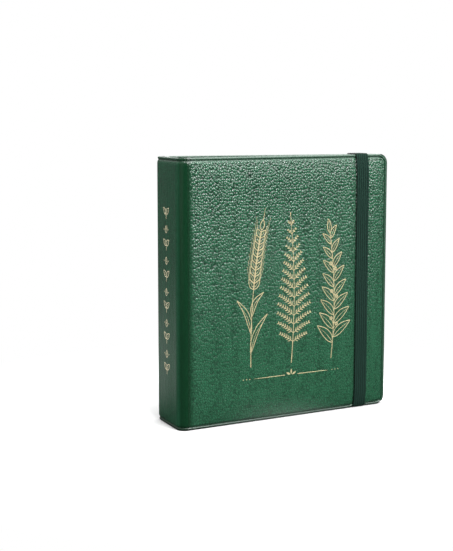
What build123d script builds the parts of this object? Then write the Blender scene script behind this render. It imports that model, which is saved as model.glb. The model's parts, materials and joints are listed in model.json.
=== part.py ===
from build123d import *
from math import asin, cos, degrees, pi, radians, sin, sqrt, tan
import os

# Seed storage binder, standing on its lower edges. Millimetres, +Z up, the spine at -X,
# the fore edge at +X and the front cover at -Y. The origin is under the middle of the case.

# Case
page_head_margin = 6.0
page_fore_margin = 14.3
spine_depth = 75.0
fore_edge_gap = 2.8
shoulder_radius = 10.0
corner_radius = 11.0
least_corner_radius = 1.0
hem_width = 4.5
hem_drop = 0.9
hem_fillet = 0.7
rim_width = 2.4
edge_fillet = 0.9

# Layers of a cover and of the spine, from the outside in
leather_thickness = 1.2
foam_thickness = 1.5
board_thickness = 1.8
lining_thickness = 0.5
hinge_lining_thickness = 0.6
layer_clearance = 0.1

# Elastic band
band_centre = 250.0
band_width = 16.5
band_thickness = 1.2
band_clearance = 0.3
band_seat_depth = 3.2
band_notch_margin = 2.2

# Ring mechanism
ring_spacing = 108.0
ring_inner_diameter = 38.4
ring_wire_diameter = 2.8
ring_centre_height = 25.0
ring_sweep = 140.0
ring_split_gap = 0.1
plate_overhang = 17.0
plate_width = 25.0
plate_height = 8.5
plate_wall_height = 4.0
plate_sheet = 0.9
plate_lip_width = 4.0
blade_thickness = 1.0
blade_split_gap = 0.6
blade_end_clearance = 9.6
blade_clearance = 0.3
ring_slot_clearance = 0.6
ring_slot_inner = 6.2
blade_rivet_clearance = 1.0

# Levers at the two ends of the plate
lever_pin_diameter = 1.8
lever_pin_inset = 5.0
lever_pin_height = 3.2
lever_pin_head = 0.8
lever_pin_head_diameter = 3.0
lever_hub_diameter = 4.0
lever_width = 14.0
lever_thickness = 1.2
lever_arm = 17.0
lever_tongue = 4.1
lever_angle = 50.0
lever_pin_clearance = 0.05
lever_notch_margin = 0.8
lever_notch_depth = 9.3
lever_tip_radius = 5.0

# Rivets that hold the plate to the spine
rivet_spacing = 160.0
rivet_shank_diameter = 4.5
rivet_head_diameter = 9.0
rivet_head_height = 1.6
rivet_head_fillet = 1.3
rivet_clearance = 0.05

# Pocket pages
page_count = 3
page_width = 229.0
page_height = 298.0
page_pitch = 1.75
page_film = 0.25
page_corner_radius = 3.0
page_hole_diameter = 6.4
page_slot_height = 10.0
page_hole_clearance = 0.3
page_hole_edge = 7.4
pocket_film = 0.2
pocket_gap = 0.9
pocket_left_edge = 23.0
pocket_centre_weld = 10.0
pocket_right_weld = 8.0
pocket_bottom_weld = 5.0
pocket_mouth_drop = 6.0
pocket_side_film = 1.0

# Seed packets
packet_width = 79.0
packet_height = 118.0
packet_thickness = 0.6
packet_corner_radius = 1.0
packet_lift = 0.3

# Sizes that follow from the ones above
wall = leather_thickness + foam_thickness + board_thickness + lining_thickness
ring_radius = ring_inner_diameter / 2 + ring_wire_diameter / 2
wire_radius = ring_wire_diameter / 2
hole_radius = page_hole_diameter / 2
hole_centre = ring_radius - wire_radius - page_hole_clearance + hole_radius
page_inner = hole_centre - page_hole_edge
cover_length = wall + ring_centre_height + page_inner + page_width + page_fore_margin
cover_height = page_height + 2 * page_head_margin
plate_length = 2 * ring_spacing + 2 * plate_overhang
cover_tilt = asin((spine_depth - 2 * wall - fore_edge_gap) / (2 * cover_length))
shoulder_turn = pi / 2 + cover_tilt
shoulder_run = shoulder_radius * tan(shoulder_turn / 2)
shoulder_thickness = leather_thickness + hem_drop
overall_length = cover_length * cos(cover_tilt)
spine_x = -overall_length / 2
spine_flat = spine_depth - 2 * shoulder_run
lining_x = spine_x + wall
middle_height = cover_height / 2
foam_inset = hem_width + layer_clearance
half_depth_at_band = spine_depth / 2 - band_centre * sin(cover_tilt)

ring_x = lining_x + ring_centre_height
ring_heights = [middle_height + step * ring_spacing for step in (-1, 0, 1)]
blade_bottom = plate_sheet + blade_clearance
blade_top = blade_bottom + blade_thickness
blade_outer = plate_width / 2 - plate_sheet - blade_clearance
blade_middle = blade_bottom + blade_thickness / 2
blade_length = plate_length - 2 * blade_end_clearance

page_bottom = page_head_margin
pocket_width = (page_width - pocket_left_edge - pocket_centre_weld - pocket_right_weld) / 2
pocket_height = page_height / 2 - pocket_bottom_weld - pocket_mouth_drop

front_face = Plane(
    origin=(spine_x, -spine_depth / 2, 0),
    x_dir=(cos(cover_tilt), sin(cover_tilt), 0),
    z_dir=(sin(cover_tilt), -cos(cover_tilt), 0),
)
spine_face = Plane(origin=(spine_x, 0, 0), x_dir=(0, -1, 0), z_dir=(-1, 0, 0))
os.makedirs("parts", exist_ok=True)


def save(piece, name):
    piece.part.label = name
    export_step(piece.part, "parts/" + name + ".step")


# A cover seen from outside: square at the hinge, rounded at the fore edge
def cover_outline(inset, hinge_inset=0.0):
    start = shoulder_run + hinge_inset
    end = cover_length - inset
    with Locations(((start + end) / 2, middle_height)):
        Rectangle(end - start, cover_height - 2 * inset)
    fillet(vertices().group_by(Axis.X)[-1], max(corner_radius - inset, least_corner_radius))


def spine_outline(inset, side_inset=0.0):
    with Locations((0, middle_height)):
        Rectangle(spine_flat - 2 * side_inset, cover_height - 2 * inset)


# Front cover, from the outside in
with BuildPart() as front_cover_leather:
    with BuildSketch(front_face.offset(-wall)):
        cover_outline(0)
    extrude(amount=wall - hem_drop)
    outside = front_cover_leather.faces().sort_by(front_face.location.z_axis)[-1]
    rim_edges = outside.edges().filter_by(
        lambda edge: (front_face.to_local_coords(edge.center())).X > shoulder_run + layer_clearance
    )
    fillet(rim_edges, edge_fillet)
    with BuildSketch(front_face.offset(-hem_drop)):
        cover_outline(hem_width)
    extrude(amount=hem_drop)
    padded = front_cover_leather.faces().sort_by(front_face.location.z_axis)[-1]
    field_edges = padded.edges().filter_by(
        lambda edge: (front_face.to_local_coords(edge.center())).X > shoulder_run + layer_clearance
    )
    fillet(field_edges, hem_fillet)
    with BuildSketch(front_face.offset(-wall)):
        cover_outline(rim_width)
    extrude(amount=board_thickness + lining_thickness, mode=Mode.SUBTRACT)
    with BuildSketch(front_face.offset(-wall)):
        cover_outline(foam_inset)
    extrude(amount=wall - leather_thickness, mode=Mode.SUBTRACT)
    with BuildSketch(front_face):
        with Locations((band_centre, 0)):
            Rectangle(band_width + 2 * band_notch_margin, 2 * (band_thickness + band_clearance))
    extrude(amount=-wall, mode=Mode.SUBTRACT)

with BuildPart() as front_cover_foam:
    with BuildSketch(front_face.offset(-leather_thickness)):
        cover_outline(foam_inset + layer_clearance, hinge_lining_thickness + layer_clearance)
    extrude(amount=-foam_thickness)

with BuildPart() as front_cover_board:
    with BuildSketch(front_face.offset(-leather_thickness - foam_thickness)):
        cover_outline(rim_width + layer_clearance, hinge_lining_thickness + layer_clearance)
    extrude(amount=-board_thickness)

with BuildPart() as front_cover_lining:
    with BuildSketch(front_face.offset(-wall)):
        cover_outline(rim_width + layer_clearance)
    extrude(amount=lining_thickness)
    with BuildSketch(front_face.offset(-wall)):
        with Locations((shoulder_run + hinge_lining_thickness / 2, middle_height)):
            Rectangle(hinge_lining_thickness, cover_height - 2 * foam_inset - 2 * layer_clearance)
    extrude(amount=wall - leather_thickness - layer_clearance)

# Front shoulder: the leather that turns the corner and bends as the cover opens
arc_centre = (spine_x + shoulder_radius, -spine_depth / 2 + shoulder_run)
turn_start = 180.0
turn_end = 180.0 + degrees(shoulder_turn)


def shoulder_section(outer, thickness):
    with BuildLine() as section:
        CenterArc(arc_centre, outer, turn_start, turn_end - turn_start)
        CenterArc(arc_centre, outer - thickness, turn_start, turn_end - turn_start)
        for angle in (turn_start, turn_end):
            direction = (cos(radians(angle)), sin(radians(angle)))
            Line(
                (arc_centre[0] + outer * direction[0], arc_centre[1] + outer * direction[1]),
                (
                    arc_centre[0] + (outer - thickness) * direction[0],
                    arc_centre[1] + (outer - thickness) * direction[1],
                ),
            )
    make_face(section.edges())


with BuildPart() as front_shoulder_leather:
    with BuildSketch(Plane.XY.offset(hem_width)):
        shoulder_section(shoulder_radius, shoulder_thickness)
    extrude(amount=cover_height - 2 * hem_width)
    with BuildSketch(Plane.XY):
        shoulder_section(shoulder_radius - hem_drop, leather_thickness)
    extrude(amount=cover_height)

with BuildPart() as front_shoulder_lining:
    with BuildSketch(Plane.XY.offset(rim_width)):
        shoulder_section(shoulder_radius - shoulder_thickness, hinge_lining_thickness)
    extrude(amount=cover_height - 2 * rim_width)

# Spine, from the outside in
with BuildPart() as spine_leather:
    with BuildSketch(spine_face.offset(-wall)):
        spine_outline(0)
    extrude(amount=wall - hem_drop)
    with BuildSketch(spine_face.offset(-hem_drop)):
        spine_outline(hem_width)
    extrude(amount=hem_drop)
    ridge = spine_leather.faces().sort_by(Axis.X)[0].edges().filter_by(Axis.Y)
    fillet(ridge, hem_fillet)
    with BuildSketch(spine_face.offset(-wall)):
        spine_outline(rim_width)
    extrude(amount=board_thickness + lining_thickness, mode=Mode.SUBTRACT)
    with BuildSketch(spine_face.offset(-wall)):
        spine_outline(foam_inset)
    extrude(amount=wall - leather_thickness, mode=Mode.SUBTRACT)

rivet_places = [(0, middle_height - rivet_spacing / 2), (0, middle_height + rivet_spacing / 2)]
rivet_hole = rivet_shank_diameter / 2 + rivet_clearance

with BuildPart() as spine_foam:
    with BuildSketch(spine_face.offset(-leather_thickness)):
        spine_outline(foam_inset + layer_clearance, hinge_lining_thickness + layer_clearance)
    extrude(amount=-foam_thickness)

with BuildPart() as spine_board:
    with BuildSketch(spine_face.offset(-leather_thickness - foam_thickness)):
        spine_outline(rim_width + layer_clearance, hinge_lining_thickness + layer_clearance)
        with Locations(*rivet_places):
            Circle(rivet_hole, mode=Mode.SUBTRACT)
    extrude(amount=-board_thickness)

with BuildPart() as spine_lining:
    with BuildSketch(spine_face.offset(-wall)):
        spine_outline(rim_width + layer_clearance)
        with Locations(*rivet_places):
            Circle(rivet_hole, mode=Mode.SUBTRACT)
    extrude(amount=lining_thickness)
    side_wall = (spine_flat - hinge_lining_thickness) / 2
    with BuildSketch(spine_face.offset(-wall)):
        with Locations((-side_wall, middle_height), (side_wall, middle_height)):
            Rectangle(hinge_lining_thickness, cover_height - 2 * foam_inset - 2 * layer_clearance)
    extrude(amount=wall - leather_thickness - layer_clearance)

# Elastic band: down the front, over and under both covers, its ends sewn to the back cover
band_reach = (2 * half_depth_at_band - band_seat_depth) / cos(cover_tilt)
band_outer = -band_clearance - band_thickness
band_low = band_clearance / 2
band_high = cover_height + band_clearance
band_side = Plane(
    origin=(
        spine_x + band_centre * cos(cover_tilt) - band_width / 2 * cos(cover_tilt),
        -half_depth_at_band - band_width / 2 * sin(cover_tilt),
        0,
    ),
    x_dir=(-sin(cover_tilt), cos(cover_tilt), 0),
    z_dir=(cos(cover_tilt), sin(cover_tilt), 0),
)

with BuildPart() as elastic_band:
    with BuildSketch(band_side):
        with BuildLine():
            Polyline(
                (band_reach, band_high),
                (-band_clearance, band_high),
                (-band_clearance, band_low + band_thickness),
                (band_reach, band_low + band_thickness),
                (band_reach, band_low),
                (band_outer, band_low),
                (band_outer, band_high + band_thickness),
                (band_reach, band_high + band_thickness),
                close=True,
            )
        make_face()
        fillet(vertices().group_by(Axis.X)[0], band_thickness)
    extrude(amount=band_width)

# Ring mechanism, drawn across the plate: height above the lining, then side
arch_rise = plate_height - plate_wall_height
arch_radius = ((plate_width / 2) ** 2 + arch_rise**2) / (2 * arch_rise)
arch_inner_radius = arch_radius - plate_sheet
plate_side = plate_width / 2
wall_inside = plate_side - plate_sheet
lip_inside = plate_side - plate_lip_width
arch_inside = plate_height - arch_radius + sqrt(arch_inner_radius**2 - wall_inside**2)
plate_low = middle_height - plate_length / 2
plate_high = middle_height + plate_length / 2
pin_x = lining_x + lever_pin_height
pin_z = plate_high - lever_pin_inset
plate_front = Plane.YZ.offset(lining_x)


def at(height, side):
    return (lining_x + height, side)


with BuildPart() as ring_base_plate:
    with BuildSketch(Plane.XY.offset(plate_low)):
        with BuildLine():
            Line(at(0, -plate_side), at(plate_wall_height, -plate_side))
            ThreePointArc(
                at(plate_wall_height, -plate_side),
                at(plate_height, 0),
                at(plate_wall_height, plate_side),
            )
            Polyline(
                at(plate_wall_height, plate_side),
                at(0, plate_side),
                at(0, lip_inside),
                at(plate_sheet, lip_inside),
                at(plate_sheet, wall_inside),
                at(arch_inside, wall_inside),
            )
            ThreePointArc(
                at(arch_inside, wall_inside),
                at(plate_height - plate_sheet, 0),
                at(arch_inside, -wall_inside),
            )
            Polyline(
                at(arch_inside, -wall_inside),
                at(plate_sheet, -wall_inside),
                at(plate_sheet, -lip_inside),
                at(0, -lip_inside),
                at(0, -plate_side),
            )
        make_face()
    extrude(amount=plate_length)
    slot_middle = (ring_slot_inner + wall_inside) / 2
    with BuildSketch(plate_front.offset(blade_top)):
        with Locations(*[(side * slot_middle, z) for side in (-1, 1) for z in ring_heights]):
            Rectangle(wall_inside - ring_slot_inner, ring_wire_diameter + 2 * ring_slot_clearance)
        with Locations((0, plate_low), (0, plate_high)):
            Rectangle(lever_width + 2 * lever_notch_margin, 2 * lever_notch_depth)
        with Locations(*rivet_places):
            Circle(rivet_hole)
    extrude(amount=plate_height, mode=Mode.SUBTRACT)
    with BuildSketch(Plane.XZ.offset(-plate_side)):
        with Locations((pin_x, pin_z), (pin_x, 2 * middle_height - pin_z)):
            Circle(lever_pin_diameter / 2 + lever_pin_clearance)
    extrude(amount=plate_width, mode=Mode.SUBTRACT)

# Blades under the plate, one for each row of half rings
with BuildPart() as front_ring_blade:
    with BuildSketch(plate_front.offset(blade_bottom)):
        with Locations((-(blade_split_gap / 2 + blade_outer) / 2, middle_height)):
            Rectangle(blade_outer - blade_split_gap / 2, blade_length)
        with Locations(*rivet_places):
            Circle(rivet_hole + blade_rivet_clearance, mode=Mode.SUBTRACT)
    extrude(amount=blade_thickness)

# Half rings: a round bow, then a straight leg down to the blade
ring_names = ["lower", "middle", "upper"]
bow_start = degrees(asin(ring_split_gap / 2 / ring_radius))
front_rings = []
for ring_name, ring_z in zip(ring_names, ring_heights):
    with BuildPart() as front_ring:
        with BuildLine(Plane.XY.offset(ring_z)) as ring_path:
            bow = CenterArc((ring_x, 0), ring_radius, -bow_start, bow_start - ring_sweep)
            leg = ring_centre_height + ring_radius * cos(radians(ring_sweep)) - blade_middle
            Line(bow @ 1, bow @ 1 + (bow % 1) * (leg / sin(radians(ring_sweep))))
        with BuildSketch(Plane(origin=bow @ 0, z_dir=bow % 0)):
            Circle(wire_radius)
        sweep(path=ring_path.line)
        with BuildSketch(plate_front):
            with Locations((0, ring_z)):
                Rectangle(plate_width, plate_width)
        extrude(amount=blade_top, mode=Mode.SUBTRACT)
    front_rings.append(front_ring)

# Levers at both ends of the plate
with BuildPart() as upper_lever:
    with BuildSketch(Plane.XZ.offset(-lever_width / 2)):
        with Locations((pin_x, pin_z)):
            Circle(lever_hub_diameter / 2)
            Rectangle(
                lever_arm,
                lever_thickness,
                rotation=90 - lever_angle,
                align=(Align.MIN, Align.CENTER),
            )
            Rectangle(
                lever_tongue,
                lever_thickness,
                rotation=-90,
                align=(Align.MIN, Align.CENTER),
            )
            Circle(lever_pin_diameter / 2 + lever_pin_clearance, mode=Mode.SUBTRACT)
    extrude(amount=lever_width)
    tip_edges = upper_lever.edges().sort_by(Axis.X)[-4:].filter_by(
        lambda edge: abs(edge.length - lever_thickness) < lever_pin_clearance
    )
    fillet(tip_edges, lever_tip_radius)

with BuildPart() as lever_pins:
    for z in (pin_z, 2 * middle_height - pin_z):
        with BuildSketch(Plane.XZ.offset(-plate_side)):
            with Locations((pin_x, z)):
                Circle(lever_pin_diameter / 2)
        extrude(amount=plate_width)
        with BuildSketch(Plane.XZ.offset(-plate_side), Plane.XZ.offset(plate_side + lever_pin_head)):
            with Locations((pin_x, z)):
                Circle(lever_pin_head_diameter / 2)
        extrude(amount=-lever_pin_head)

# Rivets through the arch, the lining and the board
with BuildPart() as plate_rivets:
    with BuildSketch(plate_front.offset(-board_thickness - lining_thickness)):
        with Locations(*rivet_places):
            Circle(rivet_shank_diameter / 2)
    extrude(amount=board_thickness + lining_thickness + plate_height)
    with BuildSketch(plate_front.offset(plate_height)):
        with Locations(*rivet_places):
            Circle(rivet_head_diameter / 2)
    extrude(amount=rivet_head_height)
    fillet(plate_rivets.faces().sort_by(Axis.X)[-2:].edges(), rivet_head_fillet)

# Pocket pages on the rings, and a seed packet in each pocket
page_left = ring_x + page_inner
first_pocket = page_left + pocket_left_edge
pocket_lefts = [first_pocket, first_pocket + pocket_width + pocket_centre_weld]
pocket_lows = [page_bottom + pocket_bottom_weld, middle_height + pocket_bottom_weld]
pocket_places = [(x + pocket_width / 2, z + pocket_height / 2) for z in pocket_lows for x in pocket_lefts]
pocket_names = ["lower_inner", "lower_outer", "upper_inner", "upper_outer"]
hole_x = ring_x + hole_centre
pages = []
packets = []
for page in range(page_count):
    page_plane = Plane.XZ.offset((1 - page) * page_pitch)
    with BuildPart() as pocket_page:
        with BuildSketch(page_plane.offset(-pocket_gap / 2)):
            with Locations((page_left + page_width / 2, middle_height)):
                RectangleRounded(page_width, page_height, page_corner_radius)
            with Locations((hole_x, middle_height)):
                Circle(hole_radius, mode=Mode.SUBTRACT)
            with Locations((hole_x, ring_heights[0]), (hole_x, ring_heights[-1])):
                SlotOverall(page_slot_height, page_hole_diameter, rotation=90, mode=Mode.SUBTRACT)
        extrude(amount=-page_film)
        with BuildSketch(page_plane.offset(-pocket_gap / 2)):
            with Locations(*pocket_places):
                Rectangle(pocket_width, pocket_height)
        extrude(amount=pocket_gap + pocket_film)
        with BuildSketch(page_plane.offset(-pocket_gap / 2)):
            with Locations(*[(x, z + pocket_side_film) for x, z in pocket_places]):
                Rectangle(pocket_width - 2 * pocket_side_film, pocket_height)
        extrude(amount=pocket_gap, mode=Mode.SUBTRACT)
    pages.append(pocket_page)
    for pocket_name, (x, z) in zip(pocket_names, pocket_places):
        packet_z = z - pocket_height / 2 + pocket_side_film + packet_lift + packet_height / 2
        with BuildPart() as seed_packet:
            with BuildSketch(page_plane.offset(-packet_thickness / 2)):
                with Locations((x, packet_z)):
                    RectangleRounded(packet_width, packet_height, packet_corner_radius)
            extrude(amount=packet_thickness)
        packets.append(("seed_packet_" + str(page + 1) + "_" + pocket_name, seed_packet))

# Finished pieces, with those that the back cover's side repeats
single_pieces = {
    "spine_leather": spine_leather,
    "spine_foam": spine_foam,
    "spine_board": spine_board,
    "spine_lining": spine_lining,
    "elastic_band": elastic_band,
    "ring_base_plate": ring_base_plate,
    "upper_lever": upper_lever,
    "lever_pins": lever_pins,
    "plate_rivets": plate_rivets,
}
front_pieces = {
    "cover_leather": front_cover_leather,
    "cover_foam": front_cover_foam,
    "cover_board": front_cover_board,
    "cover_lining": front_cover_lining,
    "shoulder_leather": front_shoulder_leather,
    "shoulder_lining": front_shoulder_lining,
    "ring_blade": front_ring_blade,
}
for ring_name, front_ring in zip(ring_names, front_rings):
    front_pieces["ring_" + ring_name] = front_ring

for name, piece in single_pieces.items():
    save(piece, name)
for name, piece in front_pieces.items():
    save(piece, "front_" + name)
    with BuildPart() as back_piece:
        mirror(piece.part, about=Plane.XZ)
    save(back_piece, "back_" + name)
with BuildPart() as lower_lever:
    mirror(upper_lever.part, about=Plane.XY.offset(middle_height))
save(lower_lever, "lower_lever")
for number, pocket_page in enumerate(pages, start=1):
    save(pocket_page, "pocket_page_" + str(number))
for name, seed_packet in packets:
    save(seed_packet, name)
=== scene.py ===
import json
import math

import bpy
import numpy as np
from mathutils import Matrix, Vector, noise


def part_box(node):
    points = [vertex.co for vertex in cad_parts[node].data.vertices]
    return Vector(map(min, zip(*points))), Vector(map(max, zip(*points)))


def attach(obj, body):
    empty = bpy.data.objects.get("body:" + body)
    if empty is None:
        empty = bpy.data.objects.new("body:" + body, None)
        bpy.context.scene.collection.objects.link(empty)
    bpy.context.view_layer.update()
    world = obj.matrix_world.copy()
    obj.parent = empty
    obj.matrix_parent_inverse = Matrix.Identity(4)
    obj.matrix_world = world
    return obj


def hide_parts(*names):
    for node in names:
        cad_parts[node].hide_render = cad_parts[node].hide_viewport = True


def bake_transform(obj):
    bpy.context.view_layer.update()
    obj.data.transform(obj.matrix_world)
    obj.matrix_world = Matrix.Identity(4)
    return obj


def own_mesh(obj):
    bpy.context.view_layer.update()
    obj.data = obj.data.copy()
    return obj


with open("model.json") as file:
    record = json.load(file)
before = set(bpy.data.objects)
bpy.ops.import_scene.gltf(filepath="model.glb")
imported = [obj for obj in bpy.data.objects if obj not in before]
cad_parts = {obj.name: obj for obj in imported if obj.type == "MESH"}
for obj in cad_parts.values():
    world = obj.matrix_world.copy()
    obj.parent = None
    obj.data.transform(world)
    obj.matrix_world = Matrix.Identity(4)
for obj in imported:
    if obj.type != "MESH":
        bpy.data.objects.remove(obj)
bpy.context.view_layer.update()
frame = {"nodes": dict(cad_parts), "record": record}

# Seed storage binder. Sizes are in millimetres here and become metres as the points are placed.
nodes = frame["nodes"]
mm = 0.001

binder = {
    "coverLength": 288.0,
    "coverHeight": 310.0,
    "spineDepth": 75.0,
    "foreEdgeGap": 2.8,
    "wall": 5.0,
    "shoulderRadius": 10.0,
    "cornerRadius": 11.0,
    "bandCentre": 250.0,
}
length = binder["coverLength"]
height = binder["coverHeight"]
corner = binder["cornerRadius"]
bandCentre = binder["bandCentre"]
halfDepth = binder["spineDepth"] / 2
shoulderRadius = binder["shoulderRadius"]
tilt = math.asin((halfDepth - binder["wall"] - binder["foreEdgeGap"] / 2) / length)
shoulderTurn = math.pi / 2 + tilt
shoulderRun = shoulderRadius * math.tan(shoulderTurn / 2)
spineX = -length * math.cos(tilt) / 2
spineHalf = halfDepth - shoulderRun
coverRun = length - shoulderRun


# Small helpers

def deselectAll():
    bpy.ops.object.select_all(action="DESELECT")


def activate(piece):
    deselectAll()
    piece.select_set(True)
    bpy.context.view_layer.objects.active = piece


def applyAll(piece):
    activate(piece)
    for modifier in list(piece.modifiers):
        bpy.ops.object.modifier_apply(modifier=modifier.name)


def smoothStep(low, high, value):
    share = min(1.0, max(0.0, (value - low) / (high - low)))
    return share * share * (3 - 2 * share)


def gridPiece(name, columns, rows, place):
    deselectAll()
    bpy.ops.mesh.primitive_grid_add(x_subdivisions=columns, y_subdivisions=rows, size=2)
    piece = bpy.context.active_object
    piece.name = name
    piece.data.name = name
    for vertex in piece.data.vertices:
        column = round((vertex.co.x + 1) / 2 * columns)
        row = round((vertex.co.y + 1) / 2 * rows)
        vertex.co = place(column, row)
    return piece


def flipFaces(piece):
    activate(piece)
    bpy.ops.object.mode_set(mode="EDIT")
    bpy.ops.mesh.select_all(action="SELECT")
    bpy.ops.mesh.flip_normals()
    bpy.ops.object.mode_set(mode="OBJECT")


def thicken(piece, thickness):
    wall = piece.modifiers.new("wall", "SOLIDIFY")
    wall.thickness = thickness * mm
    wall.offset = -1
    applyAll(piece)


def shadeSmooth(piece, degrees=40):
    activate(piece)
    bpy.ops.object.shade_smooth_by_angle(angle=math.radians(degrees))


def dress(piece, material, slot):
    piece.data.materials.clear()
    piece.data.materials.append(material)
    return piece


def linked(name, data):  # a new object, in the scene
    made = bpy.data.objects.new(name, data)
    bpy.context.scene.collection.objects.link(made)
    return made


def copyMany(template, places, name):  # one mesh holding a copy of the template at each place
    base = np.array([tuple(v.co) + (1.0,) for v in template.data.vertices])
    faces = [tuple(p.vertices) for p in template.data.polygons]
    points, polygons = [], []
    for place in places:
        shift = len(points)
        points.extend((base @ np.array(place).T)[:, :3].tolist())
        polygons.extend(tuple(shift + v for v in face) for face in faces)
    mesh = bpy.data.meshes.new(name)
    mesh.from_pydata(points, [], polygons)
    mesh.update()
    piece = linked(name, mesh)
    for polygon in mesh.polygons:
        polygon.use_smooth = True
    return piece


def removePiece(piece):
    bpy.data.objects.remove(piece, do_unlink=True)


# Where things lie on the case

def coverPoint(u, z, rise, side=1):  # side 1 is the front cover and -1 the back one
    x = spineX + u * math.cos(tilt) + rise * math.sin(tilt)
    y = -halfDepth + u * math.sin(tilt) - rise * math.cos(tilt)
    return Vector((x * mm, side * y * mm, z * mm))


def spinePoint(across, z, rise):
    return Vector(((spineX - rise) * mm, -across * mm, z * mm))


def shoulderPoint(share, z, rise, side=1):
    angle = math.pi + shoulderTurn * share
    reach = shoulderRadius + rise
    x = spineX + shoulderRadius + reach * math.cos(angle)
    y = -halfDepth + shoulderRun + reach * math.sin(angle)
    return Vector((x * mm, side * y * mm, z * mm))


# The hem, from the turned-in edge to the padded field: place, inset, rise
hem = {
    "rings": [
        (0.00, 2.40, -4.20), (0.10, 2.40, -4.78), (0.20, 2.18, -5.00), (0.35, 1.00, -5.00),
        (0.50, 0.28, -4.82), (0.65, 0.00, -4.30), (0.80, 0.00, -2.60), (0.95, 0.10, -1.75),
        (1.15, 0.42, -1.12), (1.45, 0.95, -0.72), (1.90, 1.60, -0.60), (2.30, 2.15, -0.72),
        (2.65, 2.60, -1.02), (2.95, 2.95, -1.38), (3.25, 3.25, -1.50), (3.60, 3.60, -1.36),
        (4.00, 4.00, -1.02), (4.60, 4.60, -0.62), (5.40, 5.40, -0.30), (6.50, 6.50, -0.10),
        (8.50, 8.50, 0.00),
    ],
    "interior": [11.0, 14.0, 18.0, 23.0],
    "step": 5.5,
    "stitchInset": 3.25,
}
ringShape = {place: (inset, rise) for place, inset, rise in hem["rings"]}

padding = {
    "crown": 3.8,
    "rollWidth": 27.0,
    "foreRollWidth": 22.0,
    "hingeRise": 36.0,
    "hingeFlat": 12.0,
    "swell": 0.16,
    "swellSize": 26.0,
    "swellSeed": 7.3,
    "swellEdge": (4.0, 20.0),
    "fineSwell": 0.5,
    "fineScale": 2.3,
    "fineSeed": 3.1,
    "bandCalm": (9.0, 18.0),
    "bandRelief": 1.6,
    "bandReliefHalf": 9.4,
    "bandReliefEdge": 2.5,
    "bandReliefTall": 9.0,
    "bandPress": 1.3,
    "bandPressHalf": 9.3,
    "bandPressEdge": 4.4,
    "bandColumns": (8.0, 9.1, 10.2, 11.4, 12.7, 14.0),
    "columnGap": 1.0,
    "bandLevel": 2.5,
    "leather": 0.8,
}


def spread(reach, bothEnds):  # places of the grid's lines, close together on the hem
    near = list(ringShape) + hem["interior"]
    start = near[-1]
    end = reach - start if bothEnds else reach
    count = max(1, round((end - start) / hem["step"]))
    places = near + [start + (end - start) * k / count for k in range(1, count + 1)]
    if bothEnds:
        places += [reach - place for place in reversed(near[:-1])]
    return places


def rolled(reach, width):  # the padding rises steeply at the hem and levels off over the width
    return 1 - (1 - min(1.0, max(0.0, reach / width))) ** 2


def pressed(u):  # 1 under the band, which presses into the padding, and 0 beside it
    start = padding["bandPressHalf"]
    return 1 - smoothStep(start, start + padding["bandPressEdge"], abs(u - bandCentre))


def crownRise(u, z):
    fromHinge = rolled(u - shoulderRun, padding["hingeRise"])
    fromHinge *= smoothStep(0, padding["hingeFlat"], u - shoulderRun)
    fromEnd = rolled(min(z, height - z) - hem["stitchInset"], padding["rollWidth"])
    fromFore = rolled(length - hem["stitchInset"] - u, padding["foreRollWidth"])
    depth = padding["crown"] - padding["bandPress"] * pressed(u)
    return depth * fromHinge * fromEnd * fromFore


def swellRise(u, z, side):  # a broad slow wave and a finer one, none under the band or at the edges
    inward = min(length - u, z, height - z)
    size, fine = padding["swellSize"], padding["fineScale"]
    wave = noise.noise(Vector((u / size, z / size, padding["swellSeed"] * side)))
    finePlace = Vector((fine * u / size, fine * z / size, padding["fineSeed"] * side))
    wave += padding["fineSwell"] * noise.noise(finePlace)
    offBand = smoothStep(*padding["bandCalm"], abs(u - bandCentre))
    return padding["swell"] * wave * smoothStep(*padding["swellEdge"], inward) * offBand


def fieldRise(u, z, side=1):  # rise of the padded field, for the cover and for what lies on it
    return crownRise(u, z) + swellRise(u, z, side)


zPlaces = spread(height, True)
uPlaces = [length - place for place in reversed(spread(coverRun, False))]
bandSides = [bandCentre + sign * reach for sign in (-1, 1) for reach in padding["bandColumns"]]
uPlaces = [u for u in uPlaces if min(abs(u - extra) for extra in bandSides) > padding["columnGap"]]
uPlaces = sorted(uPlaces + bandSides)


def endShape(z):  # inset from the nearer end, and rise
    fromEnd = min(z, height - z)
    place = min(ringShape, key=lambda ring: abs(ring - fromEnd))
    if abs(place - fromEnd) > 0.01:
        return fromEnd, 0.0
    return ringShape[place]


def exactRing(place):  # inset and rise, flat unless the number is a ring's to its last digit
    return ringShape.get(place, (place, 0.0))


def bandRelief(u, z):  # raises the bottom edge where the band passes under it
    start = padding["bandReliefHalf"]
    over = 1 - smoothStep(start, start + padding["bandReliefEdge"], abs(u - bandCentre))
    return padding["bandRelief"] * over * (1 - smoothStep(0, padding["bandReliefTall"], z))


def coverShape(column, row, side):  # a grid of the cover, its outer rings folded round the hem
    fromFore = length - uPlaces[column]
    z = zPlaces[row]
    fromEnd = min(z, height - z)
    upper = z > height / 2
    endInset, endRise = endShape(z)
    if fromFore < corner and fromEnd < corner:
        near, far = min(fromFore, fromEnd), max(fromFore, fromEnd)
        inset, rise = exactRing(near)
        angle = math.pi / 4 * (corner - far) / (corner - near)
        along = (corner - inset) * math.cos(angle)
        across = (corner - inset) * math.sin(angle)
        if fromEnd < fromFore:
            along, across = across, along
        u = length - corner + along
        endInset = corner - across
    elif fromFore < fromEnd:
        foreInset, rise = exactRing(fromFore)
        u = length - foreInset
        endInset = fromEnd
    else:
        u, rise = length - fromFore, endRise
    z = height - endInset if upper else endInset
    rise += fieldRise(u, z, side)
    return coverPoint(u, z + bandRelief(u, z), rise, side)


# Materials

def startMaterial(name):
    material = bpy.data.materials.new(name)
    material.use_nodes = True
    tree = material.node_tree
    return material, tree, tree.nodes["Principled BSDF"]


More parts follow.
